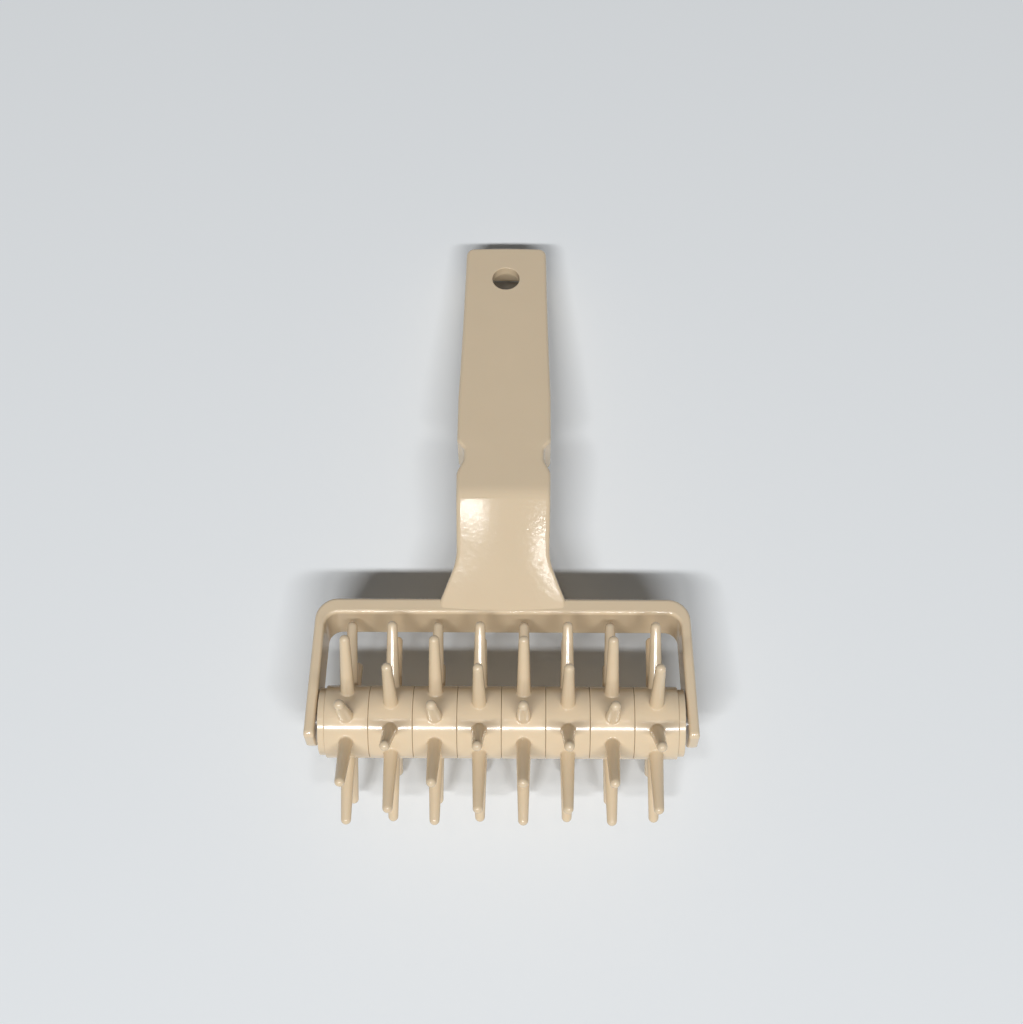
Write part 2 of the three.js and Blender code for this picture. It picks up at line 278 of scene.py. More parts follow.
def block(name: str, low: Point, high: Point) -> bpy.types.Object:
    """Makes a box between two corners.

    Args:
        name: name of the new object.
        low: its lowest corner, in millimetres.
        high: its highest corner, in millimetres.

    Returns:
        The box, with its faces outwards.
    """
    xs, ys, zs = zip(low, high)
    points = [(x, y, z) for x in xs for y in ys for z in zs]
    faces = [(0, 1, 3, 2), (4, 6, 7, 5), (0, 4, 5, 1), (2, 3, 7, 6), (0, 2, 6, 4), (1, 5, 7, 3)]
    made = mesh_object(name, points, faces)
    outward(made)
    return made


def dress(thing: bpy.types.Object, finish: bpy.types.Material) -> None:
    """Gives a whole object one finish.

    Args:
        thing: the object with the mesh.
        finish: its only material from now on.
    """
    thing.data.materials.clear()
    thing.data.materials.append(finish)
    thing.data.polygons.foreach_set("material_index", [0] * len(thing.data.polygons))


def on_axle(axle: Vector) -> Matrix:
    """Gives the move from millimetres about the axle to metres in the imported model's frame."""
    return Matrix.Translation(axle) @ Matrix.Scale(MILLIMETRE, 4)


# Finishes


def socket_link(tree: bpy.types.NodeTree, source: bpy.types.NodeSocket, target: bpy.types.NodeSocket) -> None:
    """Links two sockets of a node tree."""
    tree.links.new(source, target)


def painted(name: str, colour: Colour) -> tuple[bpy.types.Material, bpy.types.Node]:
    """Makes a material of one colour.

    Args:
        name: name of the material.
        colour: its colour.

    Returns:
        The material and its shader.
    """
    made = bpy.data.materials.new(name)
    made.use_nodes = True
    made.diffuse_color = (*colour, 1)
    shader = made.node_tree.nodes["Principled BSDF"]
    shader.inputs["Base Color"].default_value = (*colour, 1)
    return made, shader


def noise(tree: bpy.types.NodeTree, place: bpy.types.NodeSocket, scale: float, detail: float) -> bpy.types.NodeSocket:
    """Adds a noise texture to a material.

    Args:
        tree: the material's nodes.
        place: the socket that gives the place on the object.
        scale: lumps per metre.
        detail: number of finer layers.

    Returns:
        The socket with the noise, from 0 to 1.
    """
    made = tree.nodes.new("ShaderNodeTexNoise")
    made.inputs["Scale"].default_value = scale
    made.inputs["Detail"].default_value = detail
    socket_link(tree, place, made.inputs["Vector"])
    return made.outputs["Fac"]


def spread(tree: bpy.types.NodeTree, amount: bpy.types.NodeSocket, low: float, high: float) -> bpy.types.NodeSocket:
    """Spreads a socket's 0 to 1 over a range.

    Args:
        tree: the material's nodes.
        amount: the socket that is spread.
        low: what 0 becomes.
        high: what 1 becomes.

    Returns:
        The socket with the result.
    """
    made = tree.nodes.new("ShaderNodeMapRange")
    made.inputs["To Min"].default_value = low
    made.inputs["To Max"].default_value = high
    socket_link(tree, amount, made.inputs["Value"])
    return made.outputs["Result"]


def bump(
    tree: bpy.types.NodeTree,
    height: bpy.types.NodeSocket,
    depth: float,
    under: bpy.types.NodeSocket | None = None,
) -> bpy.types.NodeSocket:
    """Adds a bump to a material.

    Args:
        tree: the material's nodes.
        height: the socket with the height, from 0 to 1.
        depth: what 1 is, in metres.
        under: the normal socket of a bump that this one lies on.

    Returns:
        The socket with the normal.
    """
    made = tree.nodes.new("ShaderNodeBump")
    made.inputs["Distance"].default_value = depth
    socket_link(tree, height, made.inputs["Height"])
    if under is not None:
        socket_link(tree, under, made.inputs["Normal"])
    return made.outputs["Normal"]


@dataclass(frozen=True)
class PlasticFinish:
    """Glossy ivory plastic, by default with the sparked skin of the handle's mould."""

    name: str = "ivory_sparked"
    colour: Colour = (0.73, 0.585, 0.4)
    roughness: float = 0.1
    roughness_spread: float = 0.015
    mottle: float = 0.03
    peel_per_metre: float = 540.0
    grain_per_metre: float = 2600.0
    peel_depth: float = 0.000021
    grain_depth: float = 0.0000006
    clouds_per_metre: float = 55.0
    patches_per_metre: float = 180.0
    refraction: float = 1.52
    glow: float = 0.08
    glow_colour: Colour = (1.0, 0.6, 0.35)
    glow_depth: float = 0.0015

    def material(self) -> bpy.types.Material:
        """Builds the material.

        Returns:
            The new material.
        """
        made, shader = painted(self.name, self.colour)
        tree = made.node_tree
        shader.inputs["IOR"].default_value = self.refraction
        shader.inputs["Subsurface Weight"].default_value = self.glow
        shader.inputs["Subsurface Radius"].default_value = self.glow_colour
        shader.inputs["Subsurface Scale"].default_value = self.glow_depth
        place = tree.nodes.new("ShaderNodeTexCoord").outputs["Object"]
        tint = tree.nodes.new("ShaderNodeMix")
        tint.data_type = "RGBA"
        dark = tuple(value * (1 - self.mottle) for value in self.colour)
        light = tuple(min(value * (1 + self.mottle), 1) for value in self.colour)
        tint.inputs["A"].default_value = (*dark, 1)
        tint.inputs["B"].default_value = (*light, 1)
        socket_link(tree, noise(tree, place, self.clouds_per_metre, detail=3.0), tint.inputs["Factor"])
        socket_link(tree, tint.outputs["Result"], shader.inputs["Base Color"])
        patches = noise(tree, place, self.patches_per_metre, detail=2.0)
        low, high = self.roughness - self.roughness_spread, self.roughness + self.roughness_spread
        socket_link(tree, spread(tree, patches, low, high), shader.inputs["Roughness"])
        peel = bump(tree, noise(tree, place, self.peel_per_metre, detail=1.0), self.peel_depth)
        grain = bump(tree, noise(tree, place, self.grain_per_metre, detail=2.0), self.grain_depth, peel)
        socket_link(tree, grain, shader.inputs["Normal"])
        return made


@dataclass(frozen=True)
class SteelFinish:
    """Bright drawn steel, with fine lines along the rod."""

    name: str = "drawn_steel"
    colour: Colour = (0.56, 0.57, 0.58)
    roughness: float = 0.28
    smoother: float = 0.06
    rougher: float = 0.1
    lines_per_metre: Point = (60.0, 4000.0, 4000.0)
    line_depth: float = 0.000004

    def material(self) -> bpy.types.Material:
        """Builds the material.

        Returns:
            The new material.
        """
        made, shader = painted(self.name, self.colour)
        tree = made.node_tree
        shader.inputs["Metallic"].default_value = 1.0
        place = tree.nodes.new("ShaderNodeTexCoord").outputs["Object"]
        stretch = tree.nodes.new("ShaderNodeMapping")
        stretch.inputs["Scale"].default_value = self.lines_per_metre
        socket_link(tree, place, stretch.inputs["Vector"])
        lines = noise(tree, stretch.outputs["Vector"], scale=1.0, detail=2.0)
        low, high = self.roughness - self.smoother, self.roughness + self.rougher
        socket_link(tree, spread(tree, lines, low, high), shader.inputs["Roughness"])
        socket_link(tree, bump(tree, lines, self.line_depth), shader.inputs["Normal"])
        return made


@dataclass(frozen=True)
class FloorFinish:
    """Plain pale floor."""

    name: str = "pale_floor"
    colour: Colour = (0.83, 0.86, 0.885)
    roughness: float = 0.7
    gloss: float = 0.0

    def material(self) -> bpy.types.Material:
        """Builds the material.

        Returns:
            The new material.
        """
        made, shader = painted(self.name, self.colour)
        shader.inputs["Roughness"].default_value = self.roughness
        shader.inputs["Specular IOR Level"].default_value = self.gloss
        return made


# The docker


@dataclass
class Handle:
    """Grip, neck, bar and arms in one moulding, open at the back.

    Its own frame has the axle at the origin, X along the axle, Y out along the handle and Z towards the front.
    """

    axle: Vector
    name: str = "handle_moulding"

    # Arms and bar.
    yoke_depth: float = 17.5
    arm_wall: float = 3.6
    arm_splay: float = math.radians(1.8)
    arm_inner: float = 62.1
    pin_reach: float = 34.5
    bar_clearance: float = 2.0
    bar_height: float = 5.8
    outer_corner: float = 8.0
    inner_corner: float = 4.6
    corner_steps: int = 12
    arm_steps: int = 10
    yoke_edge: float = 1.3
    tip_reach: float = 8.3
    tip_front_corner: float = 2.0
    tip_side_corner: float = 0.9
    tip_steps: int = 30
    # The least half size of a section at the tip, inside its rounded edges.
    least_half: float = 0.05

    # Neck, with the flare at its root.
    neck_root_inset: float = 4.6
    neck_length: float = 40.95
    neck_rise: float = math.radians(23.13)
    neck_width: float = 32.2
    flare_radius: float = 17.0
    flare_angle: float = math.radians(23.3)
    flare_widening: float = 5.6
    flare_steps: int = 12
    bend_radius: float = 12.0
    bend_steps: int = 10

    # Grip. The ease bends its taper from straight, at 0, to a full curve, at 1.
    grip_depth: float = 18.0
    grip_length: float = 108.2
    grip_fall: float = math.radians(2.5)
    grip_width: float = 33.2
    grip_end_width: float = 30.0
    taper_length: float = 68.0
    taper_ease: float = 0.5
    grip_corner: float = 3.2
    grip_edge: float = 1.5
    end_steps: int = 8

    # Waist behind the bend.
    waist_depth: float = 2.45
    waist_flat: float = 2.6
    waist_ramp_to_neck: float = 7.4
    waist_ramp_to_grip: float = 4.6
    waist_from_bend: float = 16.2
    waist_steps: int = 10

    # Walls and cross ribs of the hollow back.
    skin: float = 3.6
    side_wall: float = 2.6
    end_wall: float = 2.8
    root_wall: float = 3.2
    cavity_corner: float = 1.2
    rib_count: int = 4
    rib_thickness: float = 1.6
    rib_recess: float = 3.0
    rib_first: float = 2.0
    rib_last: float = 27.0

    # Holes. A cutter overruns what it cuts.
    hole_diameter: float = 10.1
    hole_from_end: float = 15.0
    hole_rim: float = 0.3
    rim_steps: int = 8
    axle_hole: float = 3.08
    overrun: float = 2.0

    # Crowned front, rounded edges, and the extra rows that hold the flat faces beside them flat.
    crown_drop: float = 0.32
    crown_steps: int = 8
    edge_steps: int = 7
    back_edge: float = 0.35
    support: float = 0.35
    station_pitch: float = 3.0

    def __post_init__(self) -> None:
        """Works out the places that follow from the sizes."""
        self.bar_under = self.pin_reach + self.bar_clearance
        self.bar_top = self.bar_under + self.bar_height
        self.neck_root = self.bar_top - self.neck_root_inset
        self.bend_along = self.neck_root + self.neck_length * math.cos(self.neck_rise)
        self.bend_height = self.yoke_depth / 2 + self.neck_length * math.sin(self.neck_rise)
        self.end_along = self.bend_along + self.grip_length * math.cos(self.grip_fall)
        self.end_height = self.bend_height - self.grip_length * math.sin(self.grip_fall)
        self.bend_tangent = self.bend_radius * math.tan((self.neck_rise + self.grip_fall) / 2)
        self.bend_start = self.bend_along - self.bend_tangent * math.cos(self.neck_rise)
        self.bend_end = self.bend_along + self.bend_tangent * math.cos(self.grip_fall)
        self.bar_middle = (self.bar_under + self.bar_top) / 2
        self.neck_start = self.bar_under + self.yoke_edge / 2
        self.flare_end = self.bar_top - self.yoke_edge
        self.flare_knee = self.flare_end + self.flare_widening / math.tan(self.flare_angle)
        self.flare_start = self.flare_knee + self.flare_radius * math.tan(self.flare_angle / 2)
        self.flare_arc_end = self.flare_start - self.flare_radius * math.sin(self.flare_angle)
        self.waist_middle = self.bend_along + self.waist_from_bend
        self.taper_start = self.end_along - self.taper_length

    @property
    def tilt(self) -> float:
        """The turn about the axle that lays the heel of the grip on the table.

        Returns:
            The angle.
        """
        heel = self.end_height - self.grip_depth
        reach = math.hypot(self.end_along, heel)
        return math.atan2(heel, self.end_along) + math.asin(self.pin_reach / reach)

    @property
    def placing(self) -> Matrix:
        """The move from the handle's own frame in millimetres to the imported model's frame in metres."""
        return Matrix.Translation(self.axle) @ Matrix.Rotation(-self.tilt, 4, "X") @ Matrix.Scale(MILLIMETRE, 4)

    def flare(self, along: float) -> float:
        """Gives how far the flare widens each side of the neck.

        Args:
            along: the place along the handle, from the axle.

        Returns:
            The widening.
        """
        if along >= self.flare_start:
            return 0.0
        if along <= self.flare_arc_end:
            return (self.flare_knee - max(along, self.flare_end)) * math.tan(self.flare_angle)
        return self.flare_radius - math.sqrt(self.flare_radius**2 - (self.flare_start - along) ** 2)

    def half_width(self, along: float) -> float:
        """Gives half the handle's width, with its flare, waist, taper and rounded end.

        Args:
            along: the place along the handle, from the axle.

        Returns:
            Half the width.
        """
        widening = min(max((along - self.flare_start) / (self.waist_middle - self.flare_start), 0), 1)
        half = (self.neck_width + (self.grip_width - self.neck_width) * widening) / 2 + self.flare(along)
        if along > self.taper_start:
            share = (along - self.taper_start) / self.taper_length
            eased = share + (1 - (1 - share) ** 2 - share) * self.taper_ease
            half = (self.grip_width + (self.grip_end_width - self.grip_width) * eased) / 2
        from_waist = abs(along - self.waist_middle) - self.waist_flat / 2
        length = self.waist_ramp_to_neck if along < self.waist_middle else self.waist_ramp_to_grip
        ramp = min(max(1 - from_waist / length, 0), 1)
        half -= self.waist_depth * ramp * ramp * (3 - 2 * ramp)
        into_corner = along - (self.end_along - self.grip_corner)
        if into_corner > 0:
            half -= self.grip_corner - math.sqrt(max(self.grip_corner**2 - into_corner**2, 0))
        return half

    def front_height(self, along: float) -> float:
        """Gives the height of the handle's front: the rising neck, the bend and the falling grip.

        Args:
            along: the place along the handle, from the axle.

        Returns:
            The height over the axle.
        """
        if along <= self.bend_start:
            return self.yoke_depth / 2 + (along - self.neck_root) * math.tan(self.neck_rise)
        if along >= self.bend_end:
            return self.bend_height - (along - self.bend_along) * math.tan(self.grip_fall)
        centre_along = self.bend_start + self.bend_radius * math.sin(self.neck_rise)
        centre_height = (
            self.bend_height
            - self.bend_tangent * math.sin(self.neck_rise)
            - self.bend_radius * math.cos(self.neck_rise)
        )
        return centre_height + math.sqrt(self.bend_radius**2 - (along - centre_along) ** 2)

    def end_drop(self, along: float) -> float:
        """Gives how far the rounding of the grip's end lowers its front.

        Args:
            along: the place along the handle, from the axle.

        Returns:
            The drop.
        """
        into_edge = along - (self.end_along - self.grip_edge)
        if into_edge <= 0:
            return 0.0
        return self.grip_edge - math.sqrt(max(self.grip_edge**2 - into_edge**2, 0))

    def back_height(self, along: float) -> float:
        """Gives the height of the handle's open back, which starts inside the bar.

        Args:
            along: the place along the handle, from the axle.

        Returns:
            The height over the axle.
        """
        if along < self.bar_middle:
            return 0.0
        return max(self.front_height(along) - self.grip_depth, -self.yoke_depth / 2)

    def stations(self, start: float, end: float) -> list[float]:
        """Gives the places along the handle that its curves need.

        Args:
            start: the first place.
            end: the last place.

        Returns:
            The places in order, none of them closer than the edges need.
        """
        found = [start, end, self.bar_middle, self.flare_end, self.bar_top, self.taper_start]
        pitch = self.station_pitch
        found += [start + pitch * step for step in range(1, int((end - start) / pitch))]
        curve, steps = self.bend_end - self.bend_start, self.bend_steps
        found += [self.bend_start + curve * step / steps for step in range(steps + 1)]
        found += [self.bend_start - self.support, self.bend_end + self.support]
        half_flat = self.waist_flat / 2
        for side, length in ((-1, self.waist_ramp_to_neck), (1, self.waist_ramp_to_grip)):
            steps = self.waist_steps
            found += [self.waist_middle + side * (half_flat + length * step / steps) for step in range(steps + 1)]
        curve, steps = self.flare_start - self.flare_arc_end, self.flare_steps
        found += [self.flare_arc_end + curve * step / steps for step in range(steps + 1)]
        for step in range(self.end_steps + 1):
            rest = 1 - math.sin(QUARTER * step / self.end_steps)
            found += [self.end_along - self.grip_corner * rest, self.end_along - self.grip_edge * rest]
        inside = sorted(place for place in found if start <= place <= end)
        kept = [inside[0]]
        closest = self.support / 4
        for place in inside[1:-1]:
            if place - kept[-1] > closest and inside[-1] - place > closest:
                kept.append(place)
        return [*kept, inside[-1]]

    def outer_section(self, along: float) -> list[Point]:
        """Gives the outline across the handle, with rounded front edges and a crowned front.

        Args:
            along: the place along the handle, from the axle.

        Returns:
            The corners, in the handle's own frame.
        """
        half = self.half_width(along)
        front = self.front_height(along) - self.end_drop(along)
        back = self.back_height(along)
        edge, lip, rest = self.grip_edge, self.back_edge, self.support
        lean = math.atan(2 * self.crown_drop / half)
        level = front - self.crown_drop - edge * math.cos(lean)
        reach = half - edge * (1 - math.sin(lean))
        crown = []
        # The half step makes the middle strip as wide as the others, with no corner on the centre line.
        for step in range(1, self.crown_steps + 1):
            share = 1 - step / (self.crown_steps + 0.5)
            crown.append((reach * share, front - self.crown_drop * share**2))
        right: list[Flat] = [
            (half - lip, back),
            (half, back + lip),
            (half, back + lip + rest),
            (half, level - rest),
            *arc((half - edge, level), edge, 0, QUARTER - lean, self.edge_steps),
            *crown,
        ]
        left = [(-x, z) for x, z in reversed(right)]
        return [(x, along, z) for x, z in [*right, *left]]

    def cavity_section(self, along: float) -> list[Point]:
        """Gives the outline across the hollow behind the skin.

        Args:
            along: the place along the handle, from the axle.

        Returns:
            The corners, in the handle's own frame.
        """
        half = self.half_width(along) - self.side_wall
        front = self.front_height(along) - self.skin
        back = self.back_height(along)
        corner, lip, rest = self.cavity_corner, self.back_edge, self.support
        right: list[Flat] = [
            (half + lip + self.overrun, back - self.overrun),
            (half, back + lip),
            (half, front - corner - rest),
            *arc((half - corner, front - corner), corner, 0, QUARTER, self.edge_steps),
            (half - corner - rest, front),
        ]
        left = [(-x, z) for x, z in reversed(right)]
        return [(x, along, z) for x, z in [*right, *left]]

    def grip_and_neck(self) -> bpy.types.Object:
        """Makes the handle as a full bar, before it is hollowed."""
        places = self.stations(self.neck_start, self.end_along)
        return loft(self.name, [self.outer_section(place) for place in places])

    def cavity(self) -> bpy.types.Object:
        """Makes the hollow behind the skin."""
        places = self.stations(self.bar_top + self.root_wall, self.end_along - self.end_wall)
        return loft("cavity", [self.cavity_section(place) for place in places])

    def rib(self, along: float) -> bpy.types.Object:
        """Makes one cross rib of the hollow.

        Args:
            along: the place of its middle along the handle.

        Returns:
            The rib.
        """
        half = self.half_width(along) - self.side_wall / 2
        low = self.back_height(along) + self.rib_recess
        high = self.front_height(along) - self.skin / 2
        thick = self.rib_thickness / 2
        return block("rib", (-half, along - thick, low), (half, along + thick, high))

    def rib_places(self) -> list[float]:
        """Gives the places of the cross ribs along the handle.

        Returns:
            The places of their middles.
        """
        first = self.bend_along + self.rib_first
        last = self.end_along - self.rib_last
        return [first + (last - first) * step / (self.rib_count - 1) for step in range(self.rib_count)]

    def hang_hole(self) -> bpy.types.Object:
        """Makes the cutter for the hole that the docker hangs by, with its softened rim.

        Returns:
            The cutter.
        """
        radius = self.hole_diameter / 2
        rim = arc((0, radius + self.hole_rim), self.hole_rim, -QUARTER, 0, self.rim_steps)
        outline = [
            (-self.skin - self.overrun, 0.0),
            (-self.skin - self.overrun, radius),
            *[(along - self.hole_rim, high) for along, high in rim],
            (self.overrun, radius + self.hole_rim),
            (self.overrun, 0.0),
        ]
        made = turned("hang_hole", outline, TURN_STEPS)
        along = self.end_along - self.hole_from_end * math.cos(self.grip_fall)
        turn = Matrix.Rotation(-self.grip_fall, 4, "X") @ Matrix.Rotation(-QUARTER, 4, "Y")
        made.data.transform(Matrix.Translation((0, along, self.front_height(along))) @ turn)
        return made

    def yoke_section(self, inner: Flat, outer: Flat, front: float, back: float) -> list[Point]:
        """Gives the outline across the yoke.

        Args:
            inner: a point of its inner side.
            outer: the point opposite, of its outer side.
            front: height of its front face there.
            back: depth of its back face there, below the axle.

        Returns:
            The corners, in the handle's own frame.
        """
        across = Vector(outer) - Vector(inner)
        wall = across.length
        across.normalize()
        middle = (front - back) / 2
        high = (front + back) / 2
        edge = min(self.yoke_edge, high - self.least_half, wall / 2 - self.least_half)
        rest = min(self.support, (high - edge) / 2)
        upper = [
            (wall, high - edge - rest),
            *arc((wall - edge, high - edge), edge, 0, QUARTER, self.edge_steps),
            *arc((edge, high - edge), edge, QUARTER, 2 * QUARTER, self.edge_steps),
            (0.0, high - edge - rest),
        ]
        lower = [(x, -z) for x, z in reversed(upper)]
        return [(inner[0] + across.x * x, inner[1] + across.y * x, middle + z) for x, z in (*upper, *lower)]

    def tip_profile(self) -> list[tuple[float, float, float, float]]:
        """Gives the arm's tip from its end to the axle, square in front and round at the back.

        Returns:
            Rows of reach past the axle, front height, back depth and inset of both sides.
        """
        half = self.yoke_depth / 2
        sizes = (self.tip_front_corner, half, self.tip_side_corner)
        profile = []
        for step in range(self.tip_steps, -1, -1):
            reach = self.tip_reach * math.sin(QUARTER * step / self.tip_steps)
            past = [max(reach - self.tip_reach + size, 0.0) for size in sizes]
            front, back, side = (math.sqrt(size**2 - over**2) for size, over in zip(sizes, past))
            profile.append((reach, half - self.tip_front_corner + front, back, self.tip_side_corner - side))
        return profile

    def beyond(self, start: Flat, reach: float, across: float) -> Flat:
        """Gives the point past the axle along the arm, and outwards across it, from a start level with the axle."""
        sine, cosine = math.sin(self.arm_splay), math.cos(self.arm_splay)
        return (start[0] + sine * reach + cosine * across, start[1] - cosine * reach + sine * across)

    def yoke_corner(self, line: Flat, level: float, size: float) -> list[Flat]:
        """Gives the arc between a side of the arm and a side of the bar.

        Args:
            line: where the side of the arm passes the axle's level.
            level: height of the side of the bar.
            size: radius of the arc.

        Returns:
            The points of the arc, from the arm to the bar.
        """
        sine, cosine = math.sin(self.arm_splay), math.cos(self.arm_splay)
        height = level - size
        centre = (line[0] - (size + height * sine) / cosine, height)
        return arc(centre, size, self.arm_splay, QUARTER, self.corner_steps)

    def yoke(self) -> bpy.types.Object:
        """Makes the arms and the bar, swept from one arm's tip to the other's.

        Returns:
            The closed body.
        """
        inner_axle = (self.arm_inner, 0.0)
        outer_axle = self.beyond(inner_axle, 0.0, self.arm_wall)
        half = self.yoke_depth / 2
        stations = [
            (self.beyond(inner_axle, reach, inset), self.beyond(outer_axle, reach, -inset), front, back)
            for reach, front, back, inset in self.tip_profile()
        ]
        inner_arc = self.yoke_corner(inner_axle, self.bar_under, self.inner_corner)
        outer_arc = self.yoke_corner(outer_axle, self.bar_top, self.outer_corner)
        for step in range(1, self.arm_steps):
            share = step / self.arm_steps
            mixed = [
                (line[0] + (bend[0][0] - line[0]) * share, line[1] + (bend[0][1] - line[1]) * share)
                for line, bend in ((inner_axle, inner_arc), (outer_axle, outer_arc))
            ]
            stations.append((mixed[0], mixed[1], half, half))
        stations += [(inner, outer, half, half) for inner, outer in zip(inner_arc, outer_arc)]
        right = [self.yoke_section(*station) for station in stations]
        left = [[(-x, y, z) for x, y, z in section] for section in right]
        return loft("yoke", [*left, *reversed(right)])

    def axle_cutter(self) -> bpy.types.Object:
        """Makes the cutter for the axle's hole through both arms.

        Returns:
            The cutter.
        """
        half = self.arm_inner + self.arm_wall + self.overrun
        outline = [(-half, 0.0), (-half, self.axle_hole), (half, self.axle_hole), (half, 0.0)]
        return turned("axle_hole", outline, TURN_STEPS)

    def build(self, finish: bpy.types.Material) -> bpy.types.Object:
        """Makes the whole moulding.

        Args:
            finish: the material of the moulding.

        Returns:
            The finished piece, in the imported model's frame.
        """
        made = self.grip_and_neck()
        combine(made, self.yoke(), Join.ADD)
        combine(made, self.cavity(), Join.CUT)
        for place in self.rib_places():
            combine(made, self.rib(place), Join.ADD)
        combine(made, self.hang_hole(), Join.CUT)
        combine(made, self.axle_cutter(), Join.CUT)
        smooth(made, SMOOTH_BELOW_ON_HANDLE)
        made.data.transform(self.placing)
        dress(made, finish)
        return made


@dataclass
class PinRing:
    """One ring of pins: a barrel with eight pins, made from one sector that Geometry Nodes repeat."""

    axle: Vector
    count: int = 8
    pitch: float = 14.75
    gap: float = 0.1
    # Corners of two sectors closer than this are one.
    seam: float = 0.001

    # Barrel and its bore, with the slots for the sleeve's keys.
    radius: float = 12.2
    edge: float = 0.25
    edge_steps: int = 4
    bore: float = 8.8
    bore_steps: int = 9
    key_height: float = 1.1
    key_half: float = 1.5
    key_count: int = 4

    # Pins, from the flared foot up to the round tip.
    pins: int = 8
    tip_reach: float = 34.5
    root_radius: float = 2.375
    tip_radius: float = 1.7
    flare: float = 0.35
    flare_height: float = 0.6
    side_steps: int = 6
    patch_rows: int = 4
    flare_rows: int = 5
    shaft_rows: int = 6
    dome_rows: int = 6

    def __post_init__(self) -> None:
        """Works out the places that follow from the sizes."""
        self.sector = math.tau / self.pins
        self.half = (self.pitch - self.gap) / 2
        self.key_turn = self.sector / 4

    def _border(self) -> list[Flat]:
        """Gives the sector's rim, in step with the pin's sides.

        Returns:
            Pairs of a place along X and an angle about it.
        """
        steps, width, turn = self.side_steps, self.half - self.edge, self.sector / 2
        shares = [2 * step / steps - 1 for step in range(steps)]
        rim = [(width, turn * share) for share in shares]
        rim += [(-width * share, turn) for share in shares]
        rim += [(-width, -turn * share) for share in shares]
        rim += [(width * share, -turn) for share in shares]
        return rim

    def _rows(self) -> list[list[Point]]:
        """Gives the rings of points from the sector's rim over the barrel and up the pin.

        Returns:
            The rings in order, in millimetres.
        """
        border = self._border()
        count = len(border)
        foot = self.root_radius + self.flare
        corner = math.atan2(self.sector / 2 * self.radius, self.half - self.edge)
        angles = []
        for index in range(count):
            side, step = divmod(index, self.side_steps)
            bounds = [-corner, corner, math.pi - corner, math.pi + corner, math.tau - corner]
            share = step / self.side_steps
            angles.append(bounds[side] + (bounds[side + 1] - bounds[side]) * share)
        rows: list[list[Point]] = []
        for row in range(self.patch_rows + 1):
            share = row / self.patch_rows
            eased = share * (2 - share)
            ring = []
            for (along, turn), angle in zip(border, angles):
                x = along + (foot * math.cos(angle) - along) * eased
                arc_place = turn * self.radius
                arc_place += (foot * math.sin(angle) - arc_place) * eased
                place = arc_place / self.radius
                ring.append((x, self.radius * math.sin(place), self.radius * math.cos(place)))
            rows.append(ring)
        for row in range(1, self.flare_rows + 1):
            turn = QUARTER * row / self.flare_rows
            size = self.root_radius + self.flare * (1 - math.sin(turn))
            lift = self.flare_height * (1 - math.cos(turn))
            share = row / self.flare_rows
            ring = []
            for angle in angles:
                y = size * math.sin(angle)
                surface = math.sqrt(self.radius**2 - y * y)
                base = surface + (self.radius - surface) * share
                ring.append((size * math.cos(angle), y, base + lift))
            rows.append(ring)
        low = self.radius + self.flare_height
        high = self.tip_reach - self.tip_radius
        for row in range(1, self.shaft_rows + 1):
            share = row / self.shaft_rows
            size = self.root_radius + (self.tip_radius - self.root_radius) * share
            level = low + (high - low) * share
            rows.append([(size * math.cos(angle), size * math.sin(angle), level) for angle in angles])
        for row in range(1, self.dome_rows):
            turn = QUARTER * row / self.dome_rows
            size = self.tip_radius * math.cos(turn)
            level = high + self.tip_radius * math.sin(turn)
            rows.append([(size * math.cos(angle), size * math.sin(angle), level) for angle in angles])
        return rows

    def sector_object(self) -> bpy.types.Object:
        """Makes the sector of the barrel under one pin, with the pin standing along +Z.

        Returns:
            The open sheet, in metres, with its faces outwards.
        """
        rows = self._rows()
        count = len(rows[0])
        points = [point for row in rows for point in row]
        faces: list[tuple[int, ...]] = []
        for row in range(len(rows) - 1):
            here, beyond = row * count, (row + 1) * count
            for side in range(count):
                after = (side + 1) % count
                faces.append((here + side, here + after, beyond + after, beyond + side))
        points.append((0, 0, self.tip_reach))
        last = (len(rows) - 1) * count
        faces += [(last + side, last + (side + 1) % count, len(points) - 1) for side in range(count)]
        steps = self.side_steps
        ends = ((range(steps + 1), 1), (range(2 * steps, 3 * steps + 1), -1))
        for rim, side in ends:
            before = rim
            for step in range(1, self.edge_steps + 1):
                turn = QUARTER * step / self.edge_steps
                x = side * (self.half - self.edge + self.edge * math.sin(turn))
                size = self.radius - self.edge + self.edge * math.cos(turn)
                added = []
                for index in rim:
                    y, z = points[index][1], points[index][2]
                    scale = size / math.hypot(y, z)
                    points.append((x, y * scale, z * scale))
                    added.append(len(points) - 1)
                for one in range(len(rim) - 1):
                    faces.append((before[one], added[one], added[one + 1], before[one + 1]))
                before = added
        made = mesh_object("pin_sector", points, faces)
        with opened(made) as work:
            bmesh.ops.recalc_face_normals(work, faces=work.faces)
            peak = max(work.faces, key=lambda face: face.calc_center_median().z)
            if peak.normal.z < 0:
                bmesh.ops.reverse_faces(work, faces=work.faces)
        made.data.transform(Matrix.Scale(MILLIMETRE, 4))
        return made

